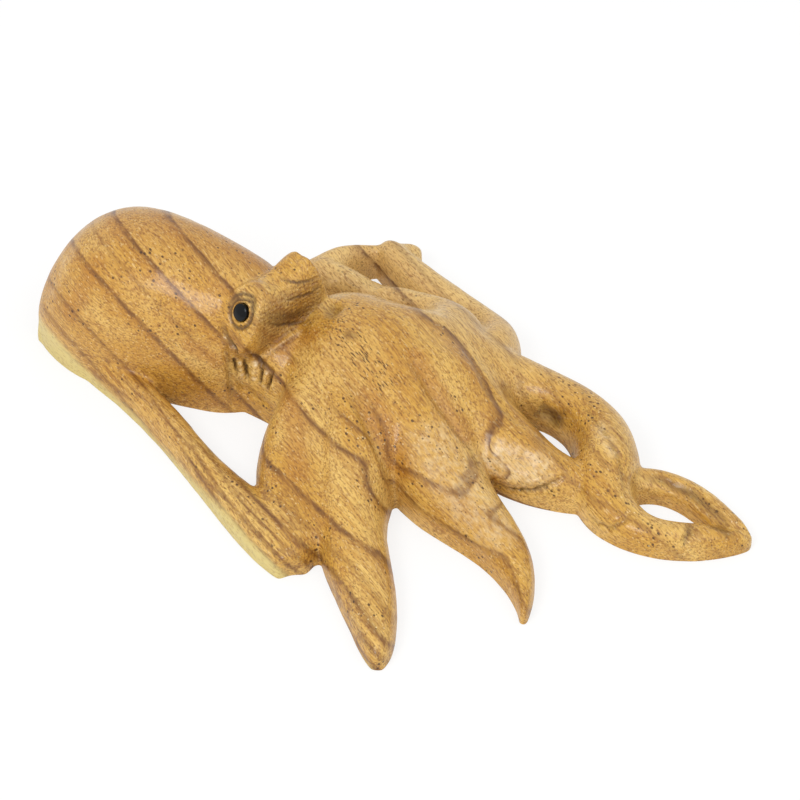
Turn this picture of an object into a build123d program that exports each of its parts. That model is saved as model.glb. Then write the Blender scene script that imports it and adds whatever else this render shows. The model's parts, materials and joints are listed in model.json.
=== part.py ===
from build123d import *
from math import cos, radians, sin
import os

# Octopus carved from one block of hardwood, lying flat on its cut underside, with two black inlaid eyes.
# +X runs from the mantle to the twisted front arms, +Y to the far side, +Z up from the table.

# Flat underside and the upright foot that every form stands on
foot_height = 2.0        # wall that rises straight from the table before an arm rounds over
mantle_foot = 6.0        # the same under the mantle
cut_allowance = 4.0      # how far each form runs below the table before it is cut flat

# Mantle, the tall bag at the back
mantle_back = -105.0     # x of its rear end
mantle_length = 65.5
mantle_width = 47.0
mantle_height = 38.5
mantle_side = 4.0        # y of its middle line

# Neck, set in behind the mantle's front rim
neck_width = 29.0
neck_height = 28.0
neck_path = [(-54, 4), (-40, 3.5), (-28, 3), (-15, 2)]

# Web, the dome that carries the arms
web_width = 50.0
web_height = 29.5
web_path = [(-34, 8), (-26, 10), (-12, 6.5), (2, 5), (14, 6), (26, 6)]

# Eye bar across the head: a bump at each end and a saddle between them
bar_middle = (-37.8, 3.6)
bar_angle = 72.0         # turned from +X towards +Y
bar_thickness = 13.0
bar_level = 29.0         # height of its own middle line
bar_drop = 5.0           # how much further it reaches down into the neck than up
bar_overrun = 5.0        # how far it is lofted past the eyes before their facets are pared
bump_spacing = 16.0      # between the tops of the two bumps
bump_rise = 9.5          # from the middle line to the top of a bump
saddle_rise = 6.5        # the same in the dip between the bumps

# Inlaid eyes, each in a facet pared on the outer end of a bump
eye_spacing = 24.0       # between the two eyes, along the bar
eye_level = 31.0
near_eye_pitch = 28.0    # the near facet faces up by this angle
far_eye_pitch = 14.0     # the same for the far facet
eye_diameter = 4.6
eye_shank = 3.0          # straight part of the inlay, glued into its socket
eye_dome = 0.6           # height of its polished dome
eye_proud = 0.3          # how far the shank stands out of the facet
eye_clearance = 0.05     # glue gap around the shank

# Places in plan where two arms meet
near_elbow = (-0.5, -57.8)
far_bend = (-46.0, 41.0)
far_knot = (-33.0, 57.5)
front_tip = (96.2, 2.2)

# Arms: stations along each one, from its root out, as x, y, height of its back and full width
near_rear_root = [
    (-24, -2, 20, 20), (-19.6, -16, 18.5, 18), (-15, -30, 15, 19), (-8, -44, 11, 17), (-3.5, -52.5, 9, 14),
    (*near_elbow, 6.5, 7),
]
near_rear_end = [
    (-101.5, -5.6, 8.5, 12), (-90, -11.2, 9, 10.4), (-69.7, -19.8, 8.5, 8.8), (-49.6, -29.7, 8.5, 8.6),
    (-29.7, -41, 8.5, 10), (-15.7, -47.8, 9, 12.8), (-6, -53.6, 8.5, 11.5), (*near_elbow, 6.5, 7),
]
near_middle = [
    (-18, 0, 25.5, 24), (-6, -14, 23.5, 22), (1.5, -28, 18, 20), (9.3, -43.8, 12.5, 17), (19.9, -57, 10, 14.4),
    (28, -67.9, 8, 9.8), (31.3, -73.4, 6, 6), (32.7, -76.2, 4, 2.4),
]
near_front = [
    (-12, 2, 28.5, 24), (4, -5, 24.5, 24), (18, -14, 18, 25), (31, -22.6, 12.5, 18.4), (43.4, -29.3, 10, 12.4),
    (52.5, -38, 7.5, 6.8), (55.6, -43.2, 6, 3.6), (57.2, -47, 4, 1.6),
]
front_under = [
    (-10, 8, 28, 24), (6, 8, 23.8, 24), (22, 5.5, 17.5, 20), (36, -0.4, 13.5, 18.2), (46, -1.5, 11.5, 14),
    (56, 2, 8, 12), (66, 8.8, 7, 8.6), (78, 9, 7, 8), (90, 4.6, 6, 5.4), (*front_tip, 3, 2),
]
front_over = [
    (-8, 16, 25, 24), (8, 22, 20, 22), (24, 24.5, 13.5, 17), (39, 23, 13, 14), (50.5, 15.3, 14, 16),
    (56, 5, 14, 17.2), (60, -2.3, 11, 15.2), (70, -7.6, 8, 10.4), (83, -4.8, 7, 9.2), (92, 0, 5.5, 6),
    (*front_tip, 3, 2),
]
far_outer = [
    (1, 20, 20, 22), (12, 31.5, 14.5, 15), (4, 43, 10, 11), (-8, 47.5, 9.8, 11), (-20, 51.5, 10.6, 11),
    (-28, 55, 11.5, 10), (*far_knot, 11, 8), (-35.5, 58.5, 8, 5),
]
far_inner = [
    (-4, 22, 22, 24), (-3, 34, 17.5, 19), (-13, 37.5, 14, 12), (-24, 38, 12.6, 10.4), (-36, 39.5, 12, 11), (*far_bend, 11.5, 12),
]
far_inner_end = [
    (-47.5, 39, 11, 11), (-44.6, 44.6, 11, 11), (-40.8, 51.4, 10.5, 7.6), (*far_knot, 9, 7),
    (-27, 59.6, 9.5, 9.6), (-24.3, 61, 7.5, 5.8),
]
far_rear = [
    (-38, 38, 11, 11), (*far_bend, 10, 11), (-56, 36, 8, 10), (-70, 31, 7.5, 9), (-84, 25, 8, 9),
    (-97, 15, 8.5, 11),
]
arms = [
    near_rear_root, near_rear_end, near_middle, near_front, front_under, front_over,
    far_outer, far_inner, far_inner_end, far_rear,
]


def rounded(half_width, reach):
    # Round edge from one side of a section to the other, reaching up, or down where reach is negative
    handle = reach * 4 / 3
    return Edge.make_bezier((-half_width, 0), (-half_width, handle), (half_width, handle), (half_width, 0))


def limb(stations, foot=foot_height):
    # Form that stands on the table, lofted through upright sections across its path in plan
    sections = []
    for i, (x, y, height, width) in enumerate(stations):
        before = stations[max(i - 1, 0)]
        after = stations[min(i + 1, len(stations) - 1)]
        along = Vector(after[0] - before[0], after[1] - before[1])
        plane = Plane(origin=(x, y, foot), x_dir=(-along.Y, along.X, 0), z_dir=along)
        half_width = width / 2
        below = -foot - cut_allowance
        corners = [(half_width, 0), (half_width, below), (-half_width, below), (-half_width, 0)]
        walls = [Edge.make_line(start, end) for start, end in zip(corners, corners[1:])]
        sections.append(plane * Face(Wire([rounded(half_width, height - foot), *walls])))
    return loft(sections)


def mantle():
    # Along the bag: shares of its own length, height and width, and of its width to the far side
    shares = [
        (0.00, 0.31, 0.50, 0.035),
        (0.06, 0.62, 0.76, 0.035),
        (0.21, 0.88, 0.95, 0.03),
        (0.43, 1.00, 1.00, 0.00),
        (0.66, 0.975, 0.915, 0.00),
        (0.87, 0.895, 0.81, 0.00),
        (0.98, 0.79, 0.66, 0.00),
        (1.00, 0.72, 0.58, 0.00),
    ]
    stations = []
    for along, rise, spread, aside in shares:
        x = mantle_back + along * mantle_length
        y = mantle_side + aside * mantle_width
        stations.append((x, y, rise * mantle_height, spread * mantle_width))
    return limb(stations, mantle_foot)


def neck():
    # Along its path: shares of its height and width
    shares = [(0.93, 0.92), (0.96, 1.0), (0.74, 1.1), (0.75, 1.38)]
    stations = [(*p, rise * neck_height, spread * neck_width) for p, (rise, spread) in zip(neck_path, shares)]
    return limb(stations)


def web():
    # Along its path: shares of its height and width
    shares = [(0.64, 0.54), (0.87, 0.84), (0.98, 0.96), (0.88, 0.9), (0.7, 0.76), (0.4, 0.48)]
    stations = [(*p, rise * web_height, spread * web_width) for p, (rise, spread) in zip(web_path, shares)]
    return limb(stations)


def bar_point(distance, level=bar_level):
    # Point above the bar's line in plan, measured along it from the middle
    turn = radians(bar_angle)
    return Vector(*bar_middle, level) + Vector(cos(turn), sin(turn), 0) * distance


def eye_seat(side):
    # Plane of an eye's facet, facing out along its line of sight; side is -1 near, +1 far
    pitch = radians(near_eye_pitch if side < 0 else far_eye_pitch)
    sight = (bar_point(side) - bar_point(0)) * cos(pitch) + Vector(0, 0, sin(pitch))
    return Plane(origin=bar_point(side * eye_spacing / 2, eye_level), z_dir=sight)


def eye_bar():
    # Upright ovals across the bar: distance from its middle, share of its thickness, rise
    bump = bump_spacing / 2
    end = eye_spacing / 2 + bar_overrun
    half = [
        (bump, 1.00, bump_rise),
        ((bump + end) / 2, 0.96, bump_rise * 0.93),
        (end, 0.72, bump_rise * 0.66),
    ]
    other_half = [(-distance, share, rise) for distance, share, rise in reversed(half)]
    along = bar_point(1) - bar_point(0)
    sections = []
    for distance, share, rise in [*other_half, (0, 0.93, saddle_rise), *half]:
        plane = Plane(origin=bar_point(distance), x_dir=(-along.Y, along.X, 0), z_dir=along)
        half_width = share * bar_thickness / 2
        sections.append(plane * Face(Wire([rounded(half_width, rise), rounded(half_width, -rise - bar_drop)])))
    bar = loft(sections)
    for side in (-1, 1):
        bar = split(bar, bisect_by=eye_seat(side), keep=Keep.BOTTOM)
    return bar


def eye_inlay():
    # Dowel with a polished dome, standing on the socket floor at its own origin
    radius = eye_diameter / 2
    top = eye_shank + eye_dome
    outline = [
        Line((0, 0), (radius, 0)),
        Line((radius, 0), (radius, eye_shank)),
        Bezier((radius, eye_shank), (radius, (eye_shank + 2 * top) / 3), (radius / 2, top), (0, top)),
        Line((0, top), (0, 0)),
    ]
    profile = Plane.XZ * make_face(outline)
    return revolve(profile, Axis.Z)


def main():
    os.makedirs("parts", exist_ok=True)

    body = mantle()
    for form in [neck(), web(), eye_bar(), *[limb(stations) for stations in arms]]:
        body = body.fuse(form)

    # Flat underside
    size = body.bounding_box().size
    waste = Box(3 * size.X, 3 * size.Y, 2 * cut_allowance, align=(Align.CENTER, Align.CENTER, Align.MAX))
    body = body - waste

    # Sockets, and the inlays that stand on their floors
    socket_depth = eye_shank - eye_proud
    inlays = {}
    for name, side in (("left_eye_inlay", 1), ("right_eye_inlay", -1)):
        seat = eye_seat(side)
        floor = seat.offset(-socket_depth)
        drill = Cylinder(
            eye_diameter / 2 + eye_clearance,
            socket_depth + bar_overrun,
            align=(Align.CENTER, Align.CENTER, Align.MIN),
        )
        body = body - floor * drill
        inlays[name] = floor * eye_inlay()

    # Origin on the table, under the middle of the carving
    middle = body.bounding_box().center()
    home = Pos(-middle.X, -middle.Y, 0)
    for name, piece in {"carved_body": body, **inlays}.items():
        placed = home * piece
        export_step(placed, f"parts/{name}.step")
        box = placed.bounding_box()
        print(name, round(placed.volume), len(placed.solids()), len(placed.faces()), box.min, box.max)


main()
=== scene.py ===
import json
import math

import bpy
import numpy as np
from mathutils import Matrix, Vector

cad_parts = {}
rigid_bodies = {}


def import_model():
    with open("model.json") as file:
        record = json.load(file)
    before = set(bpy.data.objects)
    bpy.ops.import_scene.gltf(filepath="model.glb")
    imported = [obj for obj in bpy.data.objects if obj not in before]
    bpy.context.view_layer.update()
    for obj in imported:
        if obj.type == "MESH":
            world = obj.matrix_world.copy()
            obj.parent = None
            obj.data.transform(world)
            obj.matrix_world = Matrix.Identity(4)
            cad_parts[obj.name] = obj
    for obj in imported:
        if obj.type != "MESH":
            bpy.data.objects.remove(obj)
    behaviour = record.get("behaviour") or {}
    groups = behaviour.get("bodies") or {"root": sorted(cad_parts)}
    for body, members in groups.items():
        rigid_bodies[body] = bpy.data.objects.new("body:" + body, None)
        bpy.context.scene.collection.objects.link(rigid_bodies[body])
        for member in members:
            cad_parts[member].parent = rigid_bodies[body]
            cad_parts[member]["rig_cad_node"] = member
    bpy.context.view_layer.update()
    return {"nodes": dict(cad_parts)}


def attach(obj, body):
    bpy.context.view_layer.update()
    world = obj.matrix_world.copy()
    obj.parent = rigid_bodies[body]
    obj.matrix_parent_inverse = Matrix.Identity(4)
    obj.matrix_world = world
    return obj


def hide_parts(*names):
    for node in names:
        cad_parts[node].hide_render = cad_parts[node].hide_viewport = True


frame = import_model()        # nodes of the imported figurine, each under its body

mm = 0.001


def toLinear(hexColour):
    # sRGB hex to the linear colour that the shader wants
    parts = [int(hexColour[i:i + 2], 16) / 255 for i in (1, 3, 5)]
    linear = [c / 12.92 if c <= 0.04045 else ((c + 0.055) / 1.055) ** 2.4 for c in parts]
    return (*linear, 1.0)


def addNode(tree, kind, settings=None, inputs=None):
    # inputs: a socket name or index with a plain value, or with another node's output to link
    node = tree.nodes.new(kind)
    for key, value in (settings or {}).items():
        setattr(node, key, value)
    for key, value in (inputs or {}).items():
        if isinstance(value, bpy.types.NodeSocket):
            tree.links.new(value, node.inputs[key])
        else:
            node.inputs[key].default_value = value
    return node


def newMaterial(name):
    material = bpy.data.materials.new(name)
    material.use_nodes = True
    material.node_tree.nodes.clear()
    return material, material.node_tree


def makeActive(piece):
    bpy.ops.object.select_all(action="DESELECT")
    piece.select_set(True)
    bpy.context.view_layer.objects.active = piece


def applyModifier(piece, name, kind, **settings):
    makeActive(piece)
    modifier = piece.modifiers.new(name, kind)
    for key, value in settings.items():
        setattr(modifier, key, value)
    bpy.ops.object.modifier_apply(modifier=modifier.name)


def readPoints(piece):
    # Vertex places in mm
    points = np.zeros(len(piece.data.vertices) * 3, np.float32)
    piece.data.vertices.foreach_get("co", points)
    return points.reshape(-1, 3) / mm


def readNormals(piece):
    normals = np.zeros(len(piece.data.vertices) * 3, np.float32)
    piece.data.vertices.foreach_get("normal", normals)
    return normals.reshape(-1, 3)


def writePoints(piece, points):
    piece.data.vertices.foreach_set("co", (points * mm).astype(np.float32).ravel())
    piece.data.update()


def eased(value, low, high):
    share = np.clip((value - low) / (high - low), 0.0, 1.0)
    return share * share * (3.0 - 2.0 * share)


def chooseVertices(piece, chosen):
    # Leaves the piece in edit mode with just these vertices selected
    makeActive(piece)
    bpy.ops.object.mode_set(mode="EDIT")
    bpy.ops.mesh.select_mode(type="VERT")
    bpy.ops.mesh.select_all(action="DESELECT")
    bpy.ops.object.mode_set(mode="OBJECT")
    piece.data.vertices.foreach_set("select", chosen)
    bpy.ops.object.mode_set(mode="EDIT")


def smoothWhere(piece, name, weights, passes):
    group = piece.vertex_groups.new(name=name)
    for index in np.flatnonzero(weights > 0.01):
        group.add([int(index)], float(weights[index]), "REPLACE")
    applyModifier(piece, name, "SMOOTH", factor=0.5, iterations=passes, vertex_group=name)
    piece.vertex_groups.clear()


# Camera at the photograph's place: 27 degrees round to the right, looking down 42 degrees
photoView = {
    "azimuth": 27.0,
    "elevation": 42.0,
    "distance": 0.700,
    "target": (0.00418, 0.00626, 0.01165),
    "lens": 122.85,
    "sensor": 36.0,
}


def addCamera(spec):
    turn, lift = math.radians(spec["azimuth"]), math.radians(spec["elevation"])
    back = Vector((math.sin(turn) * math.cos(lift), -math.cos(turn) * math.cos(lift), math.sin(lift)))
    bpy.ops.object.camera_add(location=Vector(spec["target"]) + back * spec["distance"])
    camera = bpy.context.object
    camera.name = "photoCamera"
    camera.rotation_euler = (-back).to_track_quat("-Z", "Y").to_euler()
    camera.data.lens = spec["lens"]
    camera.data.sensor_width = spec["sensor"]
    bpy.context.scene.camera = camera
    print("camera placed")


# Eye bar in mm: its middle in plan, its turn from +X, and where its two eyes sit
head = {
    "middle": (-33.6, 9.85),
    "turn": 72.0,
    "eyeOut": 12.0,
    "eyeLevel": 31.0,
    "eyePitch": {-1: 28.0, 1: 14.0},  # near and far
    "rimRadius": 2.9,          # raised rim close round the inlay, then the cut round the lid
    "lidRadius": 4.0,
    "neckMiddle": 9.9,         # y of the neck's middle line
}
barTurn = math.radians(head["turn"])
barAlong = np.array([math.cos(barTurn), math.sin(barTurn), 0.0])
barFront = np.array([math.sin(barTurn), -math.cos(barTurn), 0.0])
barMiddle = np.array([*head["middle"], 0.0])

# Carved body: the block as cut, then smoothed as by rasp and sandpaper; lengths in mm
carving = {
    "voxel": 0.70,
    "mergeGap": 0.01,
    "stump": 3.0,              # foot carried below the table while it is shaped, then sawn off
    "sanding": 5,
    "webMiddle": (3.0, 12.0),
    "webReach": (36.0, 32.0),  # blended fully in the inner half of this oval, not at all past its edge
    "webPasses": 390,
    "seamPasses": 200,
    "headReach": (13.0, 19.0),
    "headPasses": 16,
    "handWave": 0.35,          # unevenness left by hand work
    "handWaveSize": 9.0,
}

# Broad cuts made before the head is sanded, in mm: half width and depth
roundings = [
    {"name": "underside of the near bump", "width": 2.8, "depth": 1.7,
     "path": [(-38.4, -6.0, 20.6), (-36.6, -6.6, 19.8), (-35.0, -5.2, 18.6), (-33.4, -3.6, 17.2)]},
    {"name": "top of the near bump", "width": 5.6, "depth": 2.1,
     "path": [(-40.4, 2.2, 34.9), (-37.6, 2.4, 36.8), (-34.6, 2.2, 37.8)]},
    {"name": "top of the far bump", "width": 6.5, "depth": 2.3,
     "path": [(-33.0, 17.8, 38.6), (-30.0, 17.2, 38.4)]},
    {"name": "saddle between the bumps", "width": 4.5, "depth": 1.4,
     "path": [(-35.0, 6.0, 35.0), (-33.9, 9.0, 35.0), (-32.9, 12.0, 35.3)]},
    {"name": "hollow beside the bar", "width": 3.8, "depth": 2.3,
     "path": [(-22.8, 18.0, 25.0), (-20.6, 15.8, 26.0), (-18.6, 13.6, 26.8)]},
    {"name": "crest of the far arm", "width": 5.0, "depth": 1.5,
     "path": [(-26.0, 46.5, 11.7), (-21.6, 45.0, 12.3), (-19.7, 44.8, 12.5)]},
    {"name": "pocket between arms four and five", "width": 3.4, "depth": 1.6,
     "path": [(34.5, 24.2, 6.5), (37.5, 23.8, 6.0), (40.5, 23.4, 6.0)]},
]

# Chisel strokes over the surface, in mm: half width and depth, a rise where the depth is negative.
# "dark" is how far it is darkened, by dirt and varnish in it and by painted shade; "both" repeats it on the far side of
# the head.
strokes = [
    {"name": "crease under the near bump", "width": 1.3, "depth": 1.2, "dark": 1.0, "both": False,
     "path": [(-42.2, -3.4, 26.4), (-41.0, -4.6, 24.6), (-39.2, -5.4, 23.4), (-37.2, -6.0, 22.6),
              (-35.2, -5.8, 21.4), (-33.7, -3.6, 18.8), (-32.0, -2.4, 16.9), (-28.5, -2.7, 15.2)]},
    {"name": "gill slit 1", "width": 0.8, "depth": 1.0, "dark": 1.0, "both": True,
     "path": [(-37.9, -5.8, 18.8), (-37.7, -5.0, 15.6), (-37.2, -4.8, 12.8)]},
    {"name": "gill slit 2", "width": 0.8, "depth": 1.0, "dark": 1.0, "both": True,
     "path": [(-35.6, -3.6, 17.4), (-35.7, -3.2, 14.1), (-34.8, -3.9, 10.8)]},
    {"name": "gill slit 3", "width": 0.8, "depth": 1.0, "dark": 1.0, "both": True,
     "path": [(-31.8, -2.0, 17.0), (-31.1, -3.0, 14.4), (-31.2, -4.1, 10.8)]},
    {"name": "gill slit 4", "width": 0.8, "depth": 1.0, "dark": 1.0, "both": True,
     "path": [(-28.2, -2.5, 15.8), (-28.4, -3.5, 13.1), (-28.6, -4.5, 10.0)]},
    {"name": "gill rib 1", "width": 0.9, "depth": -0.5, "dark": 0.0, "both": True,
     "path": [(-36.8, -4.4, 16.6), (-36.3, -4.2, 12.0)]},
    {"name": "gill rib 2", "width": 1.2, "depth": -0.6, "dark": 0.0, "both": True,
     "path": [(-33.5, -2.6, 16.2), (-33.0, -3.5, 11.4)]},
    {"name": "gill rib 3", "width": 0.9, "depth": -0.5, "dark": 0.0, "both": True,
     "path": [(-29.8, -2.8, 15.0), (-29.9, -4.0, 10.6)]},
    {"name": "neck crease", "width": 1.6, "depth": 0.7, "dark": 0.3, "both": True,
     "path": [(-38.5, -5.7, 12.9), (-36.5, -4.7, 9.4), (-32.1, -4.9, 6.8), (-27.5, -5.7, 6.6)]},
    {"name": "mantle rim", "width": 1.4, "depth": 0.9, "dark": 0.4, "both": False,
     "path": [(-42.0, -4.3, 24.0), (-40.1, -5.8, 21.9), (-39.4, -5.8, 16.3), (-38.9, -6.3, 10.7), (-38.6, -6.7, 4.2),
              (-38.7, -6.8, 1.1)]},
    {"name": "ring line round the knob", "width": 0.8, "depth": 0.15, "dark": 0.85, "both": False,
     "path": [(-32.5, 11.0, 35.6), (-30.6, 10.8, 34.9), (-28.6, 11.6, 34.4), (-26.8, 13.8, 33.8), (-25.5, 16.3, 33.3)]},
    {"name": "ring line below the knob", "width": 0.8, "depth": 0.15, "dark": 0.85, "both": False,
     "path": [(-28.9, 6.9, 32.0), (-27.4, 10.2, 31.0), (-26.0, 13.4, 30.2), (-24.4, 17.9, 30.3)]},
    {"name": "shade of the rasped band", "width": 3.0, "depth": 0.05, "dark": 0.7, "both": False,
     "path": [(-30.6, -0.8, 31.5), (-29.3, 3.8, 28.2), (-27.9, 8.7, 25.6), (-26.0, 12.6, 25.0), (-24.8, 16.0, 25.0)]},
    {"name": "foot of the rasped band", "width": 0.9, "depth": 0.35, "dark": 0.9, "both": False,
     "path": [(-30.4, -1.0, 29.7), (-29.3, 4.2, 25.5), (-27.9, 9.4, 22.8), (-25.2, 12.0, 22.9)]},
    {"name": "shade in the hollow by the bar", "width": 3.4, "depth": 0.05, "dark": 0.55, "both": False,
     "path": [(-22.8, 18.0, 25.0), (-20.6, 15.8, 26.0), (-18.6, 13.6, 26.8)]},
    {"name": "lip at the foot of the bar", "width": 1.0, "depth": -0.4, "dark": 0.0, "both": False,
     "path": [(-32.8, -1.7, 17.5), (-30.5, -0.5, 18.8), (-28.3, 2.0, 20.5), (-26.7, 5.5, 21.4), (-25.6, 8.3, 21.5)]},
    {"name": "stain on the web", "width": 2.0, "depth": 0.02, "dark": 0.6, "both": False,
     "path": [(-12.7, 8.0, 27.4), (-11.1, 7.1, 27.6), (-9.7, 6.7, 27.9), (-8.4, 6.3, 28.0)]},
    {"name": "valley of arms two and three", "width": 2.2, "depth": 1.4, "dark": 0.2, "both": False,
     "path": [(-6.3, -3.7, 24.2), (0.8, -10.3, 22.6), (6.7, -14.7, 19.1), (10.8, -17.6, 15.1),
              (12.9, -18.6, 11.7), (14.1, -19.3, 8.3)]},
    {"name": "valley of arms three and four", "width": 2.2, "depth": 1.4, "dark": 0.2, "both": False,
     "path": [(5.6, 9.1, 26.0), (16.5, 1.9, 21.5), (24.6, -1.8, 16.7), (28.1, -2.5, 13.6)]},
    {"name": "edge of arm three over arm four", "width": 1.4, "depth": 1.2, "dark": 0.5, "both": False,
     "path": [(24.6, -1.8, 16.7), (28.1, -2.5, 13.6), (32.6, -5.5, 10.8), (36.6, -9.0, 9.6)]},
    {"name": "valley of arms four and five", "width": 2.0, "depth": 0.8, "dark": 0.25, "both": False,
     "path": [(15.2, 22.1, 19.6), (24.8, 15.0, 18.2), (31.0, 12.3, 15.0), (37.3, 9.8, 13.5)]},
    {"name": "flat of arm four", "width": 4.6, "depth": 1.1, "dark": 0.0, "both": False,
     "path": [(33.5, 3.0, 11.0), (40.5, 1.4, 10.4), (47.0, 1.8, 10.0)]},
    {"name": "lip of arm four", "width": 1.5, "depth": -0.8, "dark": 0.0, "both": False,
     "path": [(33.4, -1.6, 6.0), (36.4, -2.0, 5.4), (41.0, -2.2, 6.0), (45.8, -1.6, 7.6), (49.8, 0.2, 9.8)]},
    {"name": "groove under that lip", "width": 0.9, "depth": 0.9, "dark": 0.7, "both": False,
     "path": [(33.2, -2.4, 4.0), (36.2, -3.1, 3.2), (40.8, -3.3, 3.5), (45.8, -2.7, 5.2), (50.0, -0.9, 7.8),
              (52.6, 1.8, 9.4)]},
    # Dark paint in the gap between arms four and five: dirt, and painted shade in the recess
    {"name": "dirt and painted shade in the gap of arms four and five", "width": 3.6, "depth": 0.1, "dark": 0.8, "both": False,
     "path": [(34.5, 24.2, 6.5), (39.3, 23.7, 5.7), (43.5, 22.8, 8.0)]},
    {"name": "crease along arm five", "width": 1.0, "depth": 0.6, "dark": 0.45, "both": False,
     "path": [(46.3, 25.5, 12.7), (56.1, 17.0, 14.1), (62.7, 11.5, 13.2), (65.8, 7.8, 10.7), (69.7, 1.7, 8.8)]},
    {"name": "end of arm five", "width": 1.0, "depth": 0.5, "dark": 0.5, "both": False,
     "path": [(61.5, -3.1, 4.1), (64.6, -4.7, 4.0), (67.9, -5.5, 4.5), (70.8, -4.8, 6.6), (72.4, -1.5, 8.2)]},
    {"name": "recess inside the tip", "width": 2.6, "depth": 0.6, "dark": 0.7, "both": False,
     "path": [(90.0, 6.6, 6.4), (93.0, 5.8, 6.2), (96.4, 5.4, 5.4)]},
    {"name": "channel of the loop", "width": 2.2, "depth": 0.9, "dark": 0.7, "both": False,
     "path": [(68.5, 13.0, 6.9), (73.0, 14.2, 6.9), (82.0, 13.6, 6.7), (89.5, 10.4, 5.6), (95.5, 7.0, 5.2)]},
    {"name": "notch across the loop", "width": 1.4, "depth": 0.8, "dark": 0.7, "both": False,
     "path": [(86.2, 3.4, 6.6), (86.4, 2.4, 6.9), (87.1, -1.1, 6.4), (87.0, -2.7, 5.1)]},
]


# Places along paths in mm, each with its half width: seams sanded away, warmer wood with painted shade
# beside the valleys, and painted highlights along ribs, edges and flats
sandedSeams = [
    {"width": 9.0, "path": [(-12.0, -16.0, 15.5), (-8.2, -22.9, 14.4), (-5.0, -28.9, 12.4), (-0.9, -36.6, 10.4),
                            (3.1, -44.1, 8.4)]},
]
# Warmer orange tone, darker beside the valleys between the arms as painted shade, and over the web's and mantle's tops
warmToneAndValleyShade = [
    {"width": 6.0, "path": [(2.0, -6.5, 22.6), (6.2, -10.2, 19.8), (10.4, -12.4, 16.6), (16.0, -15.9, 11.7)]},
    {"width": 5.0, "path": [(7.2, 9.2, 25.0), (14.5, 4.6, 22.0), (21.0, 1.0, 18.6), (26.5, -0.6, 14.6)]},
    {"width": 5.0, "path": [(-28.0, 3.0, 19.5), (-21.0, 6.0, 23.5)]},
    {"width": 5.0, "path": [(-20.0, -10.0, 17.0), (-12.0, -20.0, 15.0), (-6.0, -30.0, 12.0)]},
    {"width": 6.0, "path": [(-79.6, -2.6, 31.7), (-81.6, -7.7, 25.6), (-84.4, -9.5, 19.8)]},
    {"width": 4.0, "path": [(-50.0, -7.2, 19.6), (-46.4, -6.9, 18.6), (-42.0, -6.4, 16.5)]},
    {"width": 18.0, "share": 0.4, "path": [(-12.0, 4.0, 26.0), (0.0, 0.0, 25.0)]},
    {"width": 16.0, "share": 1.0, "path": [(-78.0, 11.0, 37.5), (-62.0, 15.0, 37.0), (-48.0, 17.0, 34.0)]},
]
# Painted highlights: pale cream laid where the light catches the gill ribs, ridges, rims and flats
paintedHighlights = [
    {"width": 4.5, "share": 0.3,
     "path": [(-89.8, 1.5, 29.0), (-90.9, -1.7, 25.9), (-91.7, -3.9, 22.4), (-93.1, -5.9, 17.5)]},
    {"width": 1.0, "share": 0.7,
     "path": [(-32.8, -1.7, 17.5), (-30.5, -0.5, 18.8), (-28.3, 2.0, 20.5), (-26.7, 5.5, 21.4), (-25.6, 8.3, 21.5)]},
    {"width": 1.0, "share": 1.7, "path": [(-36.6, -4.4, 16.2), (-36.3, -4.2, 12.6)]},
    {"width": 1.2, "share": 1.7, "path": [(-33.4, -2.6, 15.8), (-33.0, -3.5, 12.0)]},
    {"width": 1.0, "share": 1.7, "path": [(-29.8, -2.8, 14.6), (-29.8, -4.0, 11.2)]},
    {"width": 7.0, "share": 1.0, "path": [(34.5, 0.0, 9.5), (39.8, -0.6, 9.8), (45.3, -0.1, 10.4)]},
    {"width": 3.0, "share": 0.6, "path": [(54.8, 18.3, 13.8), (61.1, 11.3, 13.7)]},
    {"width": 10.0, "share": 0.6,
     "path": [(22.0, -10.0, 17.0), (30.0, -14.5, 14.0), (37.0, -19.5, 11.5), (45.0, -23.5, 10.0)]},
]


def resampled(path, step):
    path = np.array(path, float)
    lengths = np.linalg.norm(np.diff(path, axis=0), axis=1)
    distance = np.concatenate([[0.0], np.cumsum(lengths)])
    wanted = np.linspace(0.0, distance[-1], max(int(distance[-1] / step), 3))
    return np.stack([np.interp(wanted, distance, path[:, axis]) for axis in range(3)], axis=1)


def carveStroke(piece, marks, path, width, depth, dark, closed=False):
    points, normals = readPoints(piece), readNormals(piece)
    path = resampled(path, 0.3)
    margin = 3.0 * width + 3.0
    near = np.flatnonzero(np.all((points > path.min(0) - margin) & (points < path.max(0) + margin), axis=1))
    toPath = np.linalg.norm(points[near][:, None] - path[None], axis=2)
    touched = near[toPath.argmin(0)]
    path, facing = points[touched], normals[touched]
    toPath = np.linalg.norm(points[near][:, None] - path[None], axis=2)
    nearest = toPath.argmin(1)
    share = toPath[np.arange(len(near)), nearest] / width
    ends = np.ones(len(path)) if closed else np.sqrt(np.sin(np.linspace(0.06, math.pi - 0.06, len(path))))
    cut = np.clip(1.0 - share ** 2, 0.0, 1.0) ** 2 * ends[nearest]
    cut *= eased(np.sum(normals[near] * facing[nearest], axis=1), -0.1, 0.4)
    lowest = np.minimum(points[near, 2], 0.0)      # no cut goes through the table
    points[near] -= normals[near] * (cut * depth)[:, None]
    points[near, 2] = np.maximum(points[near, 2], lowest)
    writePoints(piece, points)
    # Darkening along the cut: dirt and varnish gathered in it, and painted shade in its hollow
    darkening = np.clip(1.0 - (share / 0.8) ** 2, 0.0, 1.0) * ends[nearest] * dark
    marks[near] = np.maximum(marks[near], darkening)


def eyePlace(side):
    # Middle of an eye's facet and its line of sight; side is -1 near, +1 far
    pitch = math.radians(head["eyePitch"][side])
    sight = barAlong * side * math.cos(pitch) + np.array([0.0, 0.0, math.sin(pitch)])
    return barMiddle + barAlong * side * head["eyeOut"] + np.array([0.0, 0.0, head["eyeLevel"]]), sight


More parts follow.
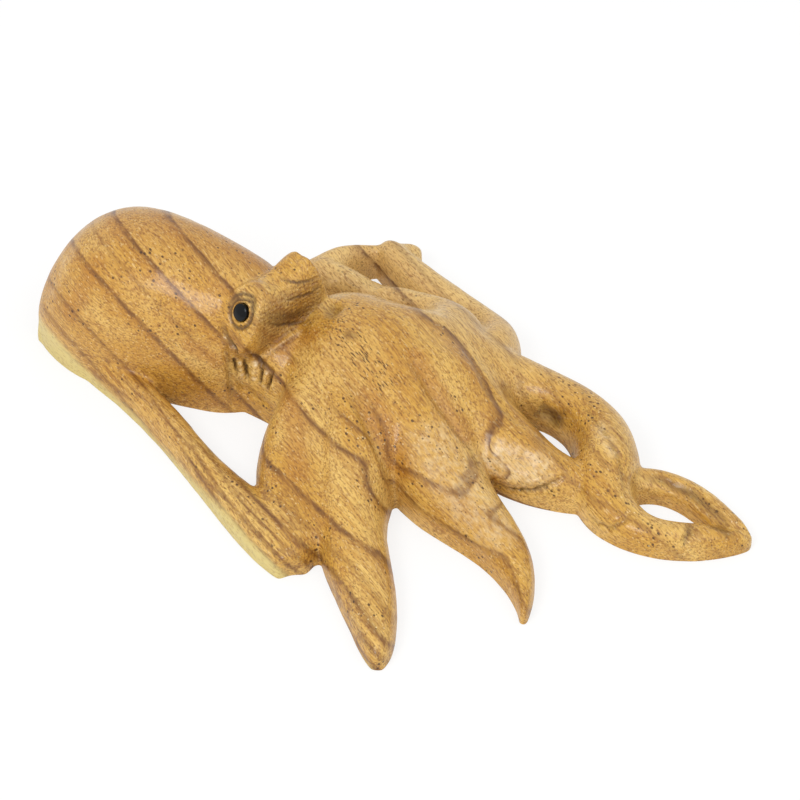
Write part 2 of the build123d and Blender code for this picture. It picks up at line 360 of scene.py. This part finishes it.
def lidPath(side, radius, start, end):
    # Arc round an eye, in degrees from the front of the bar and on over the top
    place, sight = eyePlace(side)
    over = np.cross(sight, barFront) * -side
    turns = np.radians(np.linspace(start, end, 60))
    return [place + radius * (0.92 * math.cos(t) * barFront + 1.08 * math.sin(t) * over) for t in turns]


def nearPaths(points, patches):
    # Each path's share, 1 unless it says less, easing to 0 at its half width
    marked = np.zeros(len(points))
    for patch in patches:
        away = np.full(len(points), np.inf)
        for place in resampled(patch["path"], 1.0):
            away = np.minimum(away, np.linalg.norm(points - place, axis=1))
        marked = np.maximum(marked, eased(1.0 - away / patch["width"], 0.0, 0.8) * patch.get("share", 1.0))
    return marked


def ringStray(points, spec):
    # How far the rings stray from flat, spread from the places where each one was seen; calm far from them
    across = np.array(Vector(spec["acrossRings"]).normalized())
    total, weights = np.zeros(len(points)), np.full(len(points), spec["calm"] ** -4)
    for ring, path in spec["sightings"]:
        for place in resampled(path, 2.5):
            weight = (np.sum((points - place) ** 2, axis=1) + 4.0) ** -2
            total += weight * (ring - place @ across)
            weights += weight
    return total / weights


def storeMarks(piece, name, values):
    layer = piece.data.attributes.new(name, "FLOAT", "POINT")
    layer.data.foreach_set("value", values.astype(np.float32))


def carveBody(spec):
    makeActive(frame["nodes"]["carved_body"])
    bpy.ops.object.duplicate()
    body = bpy.context.object
    body.name = "carvedOctopus"
    body.parent = None
    del body["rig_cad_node"]
    makeActive(body)
    bpy.ops.object.mode_set(mode="EDIT")
    bpy.ops.mesh.select_all(action="SELECT")
    bpy.ops.mesh.remove_doubles(threshold=spec["mergeGap"] * mm)
    bpy.ops.object.mode_set(mode="OBJECT")
    chooseVertices(body, readPoints(body)[:, 2] < spec["mergeGap"])
    bpy.ops.transform.translate(value=(0, 0, -spec["stump"] * mm))
    bpy.ops.object.mode_set(mode="OBJECT")
    applyModifier(body, "block", "REMESH", mode="VOXEL", voxel_size=spec["voxel"] * mm)
    applyModifier(body, "sanding", "SMOOTH", factor=0.5, iterations=spec["sanding"])

    # Arms run into the web without a seam, and the eye bumps have no sharp edge
    points = readPoints(body)
    fromWeb = np.linalg.norm((points[:, :2] - np.array(spec["webMiddle"])) / np.array(spec["webReach"]), axis=1)
    beforeBar = (points - barMiddle) @ barFront
    above = eased(points[:, 2], 6.0, 14.0)
    smoothWhere(body, "web", (1.0 - eased(fromWeb, 0.5, 1.0)) * eased(beforeBar, 9.0, 15.0) * above,
                spec["webPasses"])
    smoothWhere(body, "seams", nearPaths(readPoints(body), sandedSeams), spec["seamPasses"])
    for rounding in roundings:
        unmarked = np.zeros(len(body.data.vertices))
        carveStroke(body, unmarked, rounding["path"], rounding["width"], rounding["depth"], 0.0)
    points = readPoints(body)
    fromBar = np.linalg.norm(points - barMiddle - np.array([0.0, 0.0, head["eyeLevel"]]), axis=1)
    inner, outer = spec["headReach"]
    smoothWhere(body, "head", 1.0 - eased(fromBar, inner, outer), spec["headPasses"])
    waves = bpy.data.textures.new("handWork", "CLOUDS")
    waves.noise_scale = spec["handWaveSize"] * mm
    applyModifier(body, "handWork", "DISPLACE", texture=waves, texture_coords="LOCAL",
                  strength=spec["handWave"] * mm, mid_level=0.5)
    print("block sanded:", len(body.data.polygons), "faces")

    # Foot sawn flat on the table
    makeActive(body)
    bpy.ops.object.mode_set(mode="EDIT")
    bpy.ops.mesh.select_all(action="SELECT")
    bpy.ops.mesh.bisect(plane_co=(0, 0, 0), plane_no=(0, 0, 1), use_fill=True, clear_inner=True)
    bpy.ops.mesh.quads_convert_to_tris()
    bpy.ops.object.mode_set(mode="OBJECT")

    # Finer mesh on the head, where the small cuts are
    points = readPoints(body)
    points[:, 2] = np.maximum(points[:, 2], 0.0)
    writePoints(body, points)
    chooseVertices(body, (np.abs((points - barMiddle) @ barAlong) < 22.0) & (points[:, 2] > 1.0)
                   & (np.abs((points - barMiddle) @ barFront) < 11.0))
    bpy.ops.mesh.subdivide(number_cuts=1, smoothness=0.0)
    bpy.ops.object.mode_set(mode="OBJECT")

    marks = np.zeros(len(body.data.vertices))
    for stroke in strokes:
        cut = (stroke["width"], stroke["depth"], stroke["dark"])
        carveStroke(body, marks, stroke["path"], *cut)
        if stroke["both"]:
            farPath = [(x, 2.0 * head["neckMiddle"] - y, z) for x, y, z in stroke["path"]]
            carveStroke(body, marks, farPath, *cut)
    for side in (-1, 1):
        carveStroke(body, marks, lidPath(side, head["rimRadius"], 0.0, 360.0), 0.9, -0.35, 0.0, closed=True)
        carveStroke(body, marks, lidPath(side, head["lidRadius"], 0.0, 360.0), 0.9, 0.5, 0.9, closed=True)
        carveStroke(body, marks, lidPath(side, head["lidRadius"] + 0.8, 20.0, 200.0), 1.0, 0.3, 0.9)
    print("strokes carved")

    # Front of the bar left as the rasp scored it, along its length
    points, normals = readPoints(body), readNormals(body)
    along = (points - barMiddle) @ barAlong
    rasped = eased(normals @ barFront, 0.25, 0.6) * (1.0 - eased(np.abs(along + 0.5), 9.5, 12.5))
    rasped *= eased(points[:, 2], 18.0, 21.0) * (1.0 - eased(points[:, 2], 32.0, 36.0))
    rasped *= eased((points - barMiddle) @ barFront, 1.5, 4.0) * (1.0 - eased((points - barMiddle) @ barFront, 9.0, 12.0))
    rows = points[:, 2] + 0.25 * np.sin(along * 0.9) + 0.12 * np.sin(along * 2.7 + 1.0)
    score = 0.5 + 0.3 * np.sin(rows * 2.0 * math.pi / 1.15) + 0.2 * np.sin(rows * 2.0 * math.pi / 0.71 + along * 0.3)
    score *= 0.6 + 0.4 * np.sin(along * 3.1 + rows * 1.7) * np.sin(along * 1.3 - rows * 2.3)
    writePoints(body, points - normals * (rasped * score * 0.4)[:, None])
    storeMarks(body, "cutDirtAndShade", marks)
    storeMarks(body, "rasped", rasped * (0.45 + 0.55 * score))
    storeMarks(body, "warmToneAndShade", nearPaths(points, warmToneAndValleyShade))
    storeMarks(body, "paintedHighlight", nearPaths(points, paintedHighlights))
    storeMarks(body, "ringStray", ringStray(points, timber))
    makeActive(body)
    bpy.ops.object.shade_smooth_by_angle(angle=math.radians(50))
    print("body carved:", len(body.data.polygons), "faces")
    return body


# Growth rings stand across one direction and the fibres run along the other; each ring is its place in mm
# across the rings and its strength. The rings of the mantle end at the head, where the block was cut away.
# Sightings are places on the arms where a ring, or the wood inside or outside it, comes to the surface, so
# that the rings bend to pass through them.
timber = {
    "acrossRings": (0.448, 0.683, 0.576),
    "alongFibres": (0.89, -0.44, -0.17),
    "ringSpan": (-62.0, 62.0),
    "mantleRings": [(-46.0, 0.4), (-39.0, 0.5), (-32.4, 0.55), (-21.0, 1.0), (-14.0, 0.35), (-7.8, 0.95),
                    (2.4, 0.9), (13.0, 0.5)],
    "armRings": [(-36.4, 0.5), (-33.8, 0.7), (-31.2, 0.8), (-28.4, 0.5), (-25.4, 0.8), (-21.5, 0.35), (-16.6, 1.0),
                 (-5.1, 1.0), (1.5, 0.7)],
    "farRings": [(8.5, 0.8), (30.0, 0.9), (38.0, 0.45), (45.0, 0.3), (50.0, 0.2)],
    "sightings": [
        (-16.6, [(-15.0, -28.9, 11.4), (-1.7, -34.6, 10.7), (11.0, -41.1, 11.0), (19.8, -44.1, 10.8),
                 (23.9, -43.2, 9.1)]),
        (-5.1, [(-26.3, -3.0, 14.6), (-13.1, -14.3, 17.3), (-9.1, -14.9, 15.1), (0.8, -21.7, 17.3),
                (7.3, -22.7, 17.2), (10.5, -19.3, 15.6)]),
        (1.5, [(15.4, -17.4, 7.2), (24.9, -21.8, 5.5), (35.4, -24.6, 6.1), (44.2, -27.1, 6.7), (50.3, -28.5, 7.9)]),
        (8.5, [(11.0, -18.1, 14.8), (16.0, -15.9, 11.7), (20.1, -16.8, 12.5), (28.1, -18.4, 12.3),
               (32.1, -18.1, 12.4), (33.6, -12.8, 13.0), (31.3, -6.9, 12.8), (27.6, -2.6, 14.1)]),
        (30.0, [(-1.4, 24.5, 26.3), (9.7, 24.9, 21.5), (21.7, 16.9, 19.9), (29.5, 11.8, 15.8), (33.0, 8.0, 14.5),
                (32.0, 3.4, 12.8), (27.3, -0.9, 13.6)]),
        (38.0, [(21.8, 33.5, 14.2), (27.9, 28.5, 13.2), (29.6, 25.2, 10.3), (27.6, 19.0, 13.4)]),
        (3.0, [(33.8, -5.4, 11.4), (37.0, -9.2, 9.6), (37.6, -14.0, 12.0)]),
        (14.0, [(22.0, -9.0, 17.8), (28.5, -11.0, 15.0)]),
        (34.0, [(33.5, 2.0, 11.5), (39.8, -0.1, 10.7), (47.5, 1.1, 11.0)]),
        (33.0, [(37.0, -2.6, 3.3), (46.7, -2.5, 3.6), (56.7, -0.4, 3.4)]),
        (24.0, [(22.0, 4.0, 18.5), (27.5, 3.0, 15.5)]),
        (42.0, [(32.0, 18.0, 12.5)]),
    ],
    "calm": 14.0,                       # mm from a sighting beyond which the rings lie flat
    "ringChange": (-44.0, -34.0),       # x where the mantle's rings give way to the others
    "paleSide": (0.00, 0.95, 0.30),     # the far side, where the wood turns paler over these mm
    "paleSpan": (24.0, 44.0),
    "sapwoodSide": (0.400, 0.766, 0.516),
    "sapwoodStart": -38.5,
    "nearArm": (0.887, -0.461, 0.0),    # the low near arm, along which its streaks run
}


def satinHardwood(spec):
    # Tropical hardwood under satin varnish: dark ring lines, open pores, brown flecks and a pale sapwood foot
    material, tree = newMaterial("satinVarnishedHardwood")
    across = Vector(spec["acrossRings"]).normalized()
    along = Vector(spec["alongFibres"])
    along = (along - across * along.dot(across)).normalized()
    aside = across.cross(along)

    place = addNode(tree, "ShaderNodeTexCoord")
    inMillimetres = addNode(tree, "ShaderNodeVectorMath", {"operation": "SCALE"},
                            {0: place.outputs["Object"], "Scale": 1000.0})
    where = inMillimetres.outputs["Vector"]
    split = addNode(tree, "ShaderNodeSeparateXYZ", None, {0: where})

    def maths(operation, first, second=0.0, third=0.0):
        return addNode(tree, "ShaderNodeMath", {"operation": operation},
                       {0: first, 1: second, 2: third}).outputs["Value"]

    def distanceAlong(direction):
        return addNode(tree, "ShaderNodeVectorMath", {"operation": "DOT_PRODUCT"},
                       {0: where, 1: direction}).outputs["Value"]

    alongFibre = distanceAlong(along)
    asideFibre = distanceAlong(aside)
    acrossRing = distanceAlong(across)

    def stretched(length, width):
        # Coordinates whose unit cell is that long along the fibres and that wide across them
        return addNode(tree, "ShaderNodeCombineXYZ", None, {
            "X": maths("DIVIDE", alongFibre, length),
            "Y": maths("DIVIDE", asideFibre, width),
            "Z": maths("DIVIDE", acrossRing, width),
        }).outputs["Vector"]

    def grain(length, width, detail=2.0):
        return addNode(tree, "ShaderNodeTexNoise", {"noise_dimensions": "3D"},
                       {"Vector": stretched(length, width), "Scale": 1.0, "Detail": detail}).outputs["Fac"]

    def ranged(value, low, high, toLow=0.0, toHigh=1.0):
        return addNode(tree, "ShaderNodeMapRange", {"interpolation_type": "SMOOTHSTEP"},
                       {"Value": value, "From Min": low, "From Max": high,
                        "To Min": toLow, "To Max": toHigh}).outputs["Result"]

    def dots(length, width, radius):
        # Round where the cut crosses the fibres, drawn out where it runs along them
        cells = addNode(tree, "ShaderNodeTexVoronoi", {"feature": "F1"},
                        {"Vector": stretched(length, width), "Scale": 1.0, "Randomness": 1.0})
        return ranged(cells.outputs["Distance"], radius * 0.6 / width, radius / width, 1.0, 0.0)

    def tinted(base, colour, amount):
        mix = addNode(tree, "ShaderNodeMix", {"data_type": "RGBA"}, {"Factor": amount})
        for socket, value in ((mix.inputs[6], base), (mix.inputs[7], colour)):
            if isinstance(value, bpy.types.NodeSocket):
                tree.links.new(value, socket)
            else:
                socket.default_value = value
        return mix.outputs[2]

    # Rings wander a little, so that no line is straight
    wander = maths("MULTIPLY_ADD", grain(70.0, 24.0, 1.0), 1.6, -0.8)
    flutter = maths("MULTIPLY_ADD", grain(9.0, 3.0, 2.0), 0.9, -0.45)
    stray = addNode(tree, "ShaderNodeAttribute", {"attribute_name": "ringStray"}).outputs["Fac"]
    ringPlace = maths("ADD", maths("ADD", acrossRing, stray), maths("ADD", wander, flutter))
    low, high = spec["ringSpan"]
    ringShare = maths("DIVIDE", maths("SUBTRACT", ringPlace, low), high - low)

    def ringRamp(rings, before, after):
        ramp = addNode(tree, "ShaderNodeValToRGB", None, {"Fac": ringShare})
        stops = ramp.color_ramp.elements
        stops[0].color = stops[1].color = (0, 0, 0, 1)
        for line, strength in rings:
            for offset, level in ((-before, 0.0), (0.0, strength), (after, 0.0)):
                stop = stops.new((line + offset - low) / (high - low))
                stop.color = (level, level, level, 1)
        return ramp.outputs["Color"]

    atArms = ranged(split.outputs["X"], *spec["ringChange"])
    atMantle = maths("SUBTRACT", 1.0, atArms)

    def rings(before, after):
        arms = maths("MAXIMUM", ringRamp(spec["armRings"], before, after),
                     ringRamp(spec["farRings"], before, after))
        return maths("ADD", maths("MULTIPLY", ringRamp(spec["mantleRings"], before, after), atMantle),
                     maths("MULTIPLY", arms, atArms))

    onWebTop = addNode(tree, "ShaderNodeVectorMath", {"operation": "DISTANCE"}, {0: where, 1: (-7.0, 2.5, 26.0)})
    fromWebTop = onWebTop.outputs["Value"]
    onBar = addNode(tree, "ShaderNodeVectorMath", {"operation": "DISTANCE"}, {0: where, 1: (-30.5, 8.0, 29.0)})
    offBar = ranged(onBar.outputs["Value"], 10.0, 14.0, 0.15, 1.0)
    lineMask = maths("MULTIPLY", rings(1.3, 0.5), ranged(fromWebTop, 13.0, 21.0, 0.12, 1.0))
    lineMask = maths("MULTIPLY", lineMask, offBar)
    lateWood = maths("MULTIPLY", rings(3.8, 0.5), ranged(fromWebTop, 13.0, 21.0, 0.2, 1.0))

    # Heartwood colours
    paleTan = toLinear("#deb664")
    goldenTan = toLinear("#cb9b40")
    orangeBrown = toLinear("#a76c1b")
    ringBrown = toLinear("#552c0f")
    poreBrown = toLinear("#432812")
    # darkest brown, for dirt and painted shade in the cuts
    dirtAndShadeBrown = toLinear("#43290f")
    sapCream = toLinear("#d2bf78")
    glintWhite = toLinear("#ecd6a4")

    colour = tinted(paleTan, goldenTan, ranged(grain(38.0, 13.0, 3.0), 0.36, 0.62))
    colour = tinted(colour, orangeBrown, maths("MULTIPLY", ranged(grain(24.0, 1.1, 3.0), 0.42, 0.74), 0.4))
    colour = tinted(colour, orangeBrown, maths("MULTIPLY", lateWood, 0.6))
    # Warmer orange: over the mantle, and on the patches, where beside the valleys it is painted shade
    warm = addNode(tree, "ShaderNodeAttribute", {"attribute_name": "warmToneAndShade"}).outputs["Fac"]
    warm = maths("MAXIMUM", warm, maths("MULTIPLY", atMantle, 0.35))
    colour = tinted(colour, toLinear("#ad6f1c"), maths("MULTIPLY", warm, 0.55))
    fineLines = ranged(grain(30.0, 0.45, 2.0), 0.48, 0.68)
    colour = tinted(colour, toLinear("#8f5c26"), maths("MULTIPLY", fineLines, 0.58))
    paler = ranged(distanceAlong(spec["paleSide"]), *spec["paleSpan"])
    colour = tinted(colour, toLinear("#e0c48c"), maths("MULTIPLY", paler, 0.42))
    flecks = ranged(grain(1.6, 0.4, 2.0), 0.46, 0.70)
    colour = tinted(colour, toLinear("#7e4b1a"), maths("MULTIPLY", flecks, 0.6))
    paleFlecks = ranged(grain(1.3, 0.45, 1.0), 0.58, 0.78)
    colour = tinted(colour, toLinear("#e6c588"), maths("MULTIPLY", paleFlecks, 0.55))
    onNearArm = maths("MULTIPLY", ranged(acrossRing, -27.0, -20.0, 0.5, 0.0), ranged(split.outputs["Z"], 9.0, 13.0, 1.0, 0.0))
    onArm = addNode(tree, "ShaderNodeCombineXYZ", None, {
        "X": maths("DIVIDE", distanceAlong(spec["nearArm"]), 45.0),
        "Y": maths("DIVIDE", distanceAlong(Vector(spec["nearArm"]).cross((0, 0, -1))), 1.0),
        "Z": maths("DIVIDE", split.outputs["Z"], 1.2),
    })
    lines = addNode(tree, "ShaderNodeTexNoise", None,
                    {"Vector": onArm.outputs["Vector"], "Scale": 1.0, "Detail": 2.0}).outputs["Fac"]
    streaks = maths("MULTIPLY", ranged(lines, 0.50, 0.64), onNearArm)
    colour = tinted(colour, toLinear("#6e3d1a"), streaks)
    # Painted highlights: patchy pale cream on the gill ribs, ridges, rims and flats
    paintedSheen = addNode(tree, "ShaderNodeAttribute", {"attribute_name": "paintedHighlight"}).outputs["Fac"]
    paintedSheenPatchy = ranged(grain(2.0, 1.4, 3.0), 0.35, 0.7, 0.15, 0.6)
    colour = tinted(colour, toLinear("#ecd7ae"), maths("MULTIPLY", paintedSheen, paintedSheenPatchy))
    uneven = ranged(grain(7.0, 2.2, 2.0), 0.3, 0.6, 0.4, 1.0)
    colour = tinted(colour, ringBrown, maths("MULTIPLY", maths("MULTIPLY", lineMask, uneven), 0.95))

    # Open pores, drawn about half as large again as real ones so that they show
    clusters = ranged(grain(18.0, 7.0, 2.0), 0.52, 0.60)
    pores = maths("MULTIPLY", dots(2.2, 1.6, 0.38), clusters)
    pores = maths("MAXIMUM", pores, maths("MULTIPLY", dots(1.5, 1.0, 0.19), 0.6))
    inBand = maths("MULTIPLY", ranged(acrossRing, 10.0, 12.0), ranged(acrossRing, 17.5, 19.5, 1.0, 0.0))
    dashes = maths("MULTIPLY", maths("MAXIMUM", dots(4.4, 0.66, 0.18), dots(3.4, 0.55, 0.15)),
                   ranged(fromWebTop, 12.0, 17.0, 1.0, 0.0))
    pores = maths("MAXIMUM", pores, maths("MULTIPLY", dashes, inBand))
    colour = tinted(colour, poreBrown, maths("MULTIPLY", pores, ranged(paler, 0.0, 1.0, 0.85, 0.45)))
    glints = maths("MULTIPLY", dots(1.9, 1.7, 0.26), ranged(grain(20.0, 7.0, 1.0), 0.58, 0.66))
    colour = tinted(colour, glintWhite, maths("MULTIPLY", glints, maths("MULTIPLY", atArms, 0.5)))

    # Sapwood along the foot of the near side, where the block met the bark
    barkward = maths("ADD", distanceAlong(Vector(spec["sapwoodSide"]).normalized()),
                     maths("MULTIPLY_ADD", grain(26.0, 7.0, 2.0), 3.0, -1.5))
    start = spec["sapwoodStart"]
    sapwood = ranged(barkward, start - 1.4, start + 0.8, 1.0, 0.0)
    colour = tinted(colour, sapCream, maths("MULTIPLY", sapwood, ranged(flecks, 0.2, 1.0, 0.9, 0.5)))

    # Dirt and painted shade in the cuts, and bare darker wood where the rasp scored it
    rasped = addNode(tree, "ShaderNodeAttribute", {"attribute_name": "rasped"}).outputs["Fac"]
    torn = ranged(grain(1.5, 0.8, 3.0), 0.35, 0.65)
    scored = maths("MULTIPLY", rasped, maths("MULTIPLY_ADD", torn, 0.5, 0.5))
    colour = tinted(colour, toLinear("#6a3a16"), maths("MULTIPLY", scored, 0.9))
    cuts = addNode(tree, "ShaderNodeAttribute", {"attribute_name": "cutDirtAndShade"}).outputs["Fac"]
    colour = tinted(colour, dirtAndShadeBrown, maths("MULTIPLY", maths("POWER", cuts, 1.3), 0.95))

    bumpHeight = maths("ADD", maths("ADD", maths("MULTIPLY", pores, -1.0), maths("MULTIPLY", flecks, -0.25)),
                       maths("MULTIPLY", scored, -1.2))
    bump = addNode(tree, "ShaderNodeBump", None, {"Strength": 0.6, "Distance": 0.0003, "Height": bumpHeight})
    gloss = ranged(grain(6.0, 2.5, 2.0), 0.3, 0.7, 0.45, 0.6)
    shader = addNode(tree, "ShaderNodeBsdfPrincipled", None, {
        "Base Color": colour, "Roughness": gloss, "IOR": 1.5,
        "Specular IOR Level": 0.32, "Coat Weight": 0.36, "Coat Roughness": 0.17, "Normal": bump.outputs["Normal"],
    })
    addNode(tree, "ShaderNodeOutputMaterial", None, {"Surface": shader.outputs["BSDF"]})
    return material


def polishedBlack(name):
    # Black resin inlay, polished after it was set: a clear small highlight on near black
    material, tree = newMaterial(name)
    place = addNode(tree, "ShaderNodeTexCoord")
    haze = addNode(tree, "ShaderNodeTexNoise", None,
                   {"Vector": place.outputs["Object"], "Scale": 900.0, "Detail": 2.0})
    rough = addNode(tree, "ShaderNodeMapRange", None,
                    {"Value": haze.outputs["Fac"], "To Min": 0.10, "To Max": 0.24})
    shader = addNode(tree, "ShaderNodeBsdfPrincipled", None, {
        "Base Color": toLinear("#090b0d"), "Roughness": rough.outputs["Result"], "IOR": 1.45,
        "Specular IOR Level": 0.25,
    })
    addNode(tree, "ShaderNodeOutputMaterial", None, {"Surface": shader.outputs["BSDF"]})
    return material


# White table and soft light: a large overhead softbox, a wide front fill and a pale world
studio = {
    "floorSize": 4.0,
    "floorDrop": 0.0001,
    "floorColour": "#f7f7f6",
    "worldStrength": 0.83,
    "overhead": {"place": (0.35, -0.15, 0.76), "size": 0.60, "power": 1.3},
    "frontFill": {"place": (-0.12, -0.66, 0.74), "size": 0.34, "power": 3.2},
}


def addSoftLight(name, spec):
    bpy.ops.object.light_add(type="AREA", location=spec["place"])
    light = bpy.context.object
    light.name = name
    light.data.shape = "SQUARE"
    light.data.size = spec["size"]
    light.data.energy = spec["power"]
    light.rotation_euler = (-Vector(spec["place"])).to_track_quat("-Z", "Y").to_euler()


def addStudio(spec):
    bpy.ops.mesh.primitive_plane_add(size=spec["floorSize"], location=(0, 0, -spec["floorDrop"]))
    floor = bpy.context.object
    floor.name = "paleFloor"
    material, tree = newMaterial("paleFloorPaper")
    path = addNode(tree, "ShaderNodeLightPath")
    matte = addNode(tree, "ShaderNodeBsdfDiffuse", None, {"Color": toLinear(spec["floorColour"])})
    white = addNode(tree, "ShaderNodeEmission", None, {"Color": (1, 1, 1, 1), "Strength": 1.0})
    seen = addNode(tree, "ShaderNodeMath", {"operation": "MULTIPLY"}, {0: path.outputs["Is Camera Ray"], 1: 0.75})
    mix = addNode(tree, "ShaderNodeMixShader", None,
                  {0: seen.outputs["Value"], 1: matte.outputs["BSDF"], 2: white.outputs["Emission"]})
    addNode(tree, "ShaderNodeOutputMaterial", None, {"Surface": mix.outputs["Shader"]})
    floor.data.materials.append(material)

    world = bpy.data.worlds.new("paleStudio")
    world.use_nodes = True
    world.node_tree.nodes.clear()
    sky = addNode(world.node_tree, "ShaderNodeBackground", None,
                  {"Color": (1, 1, 1, 1), "Strength": spec["worldStrength"]})
    addNode(world.node_tree, "ShaderNodeOutputWorld", None, {"Surface": sky.outputs["Background"]})
    bpy.context.scene.world = world
    addSoftLight("overheadSoftbox", spec["overhead"])
    addSoftLight("frontFill", spec["frontFill"])
    bpy.context.scene.view_settings.view_transform = "Standard"
    print("studio lit")


def paint(piece, material):
    piece.data.materials.clear()
    piece.data.materials.append(material)


addCamera(photoView)

body = carveBody(carving)
paint(body, satinHardwood(timber))
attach(body, "root")
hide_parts("carved_body")

eyeBlack = polishedBlack("polishedBlackResin")
for eye in ("left_eye_inlay", "right_eye_inlay"):
    paint(frame["nodes"][eye], eyeBlack)
print("eyes polished")

addStudio(studio)
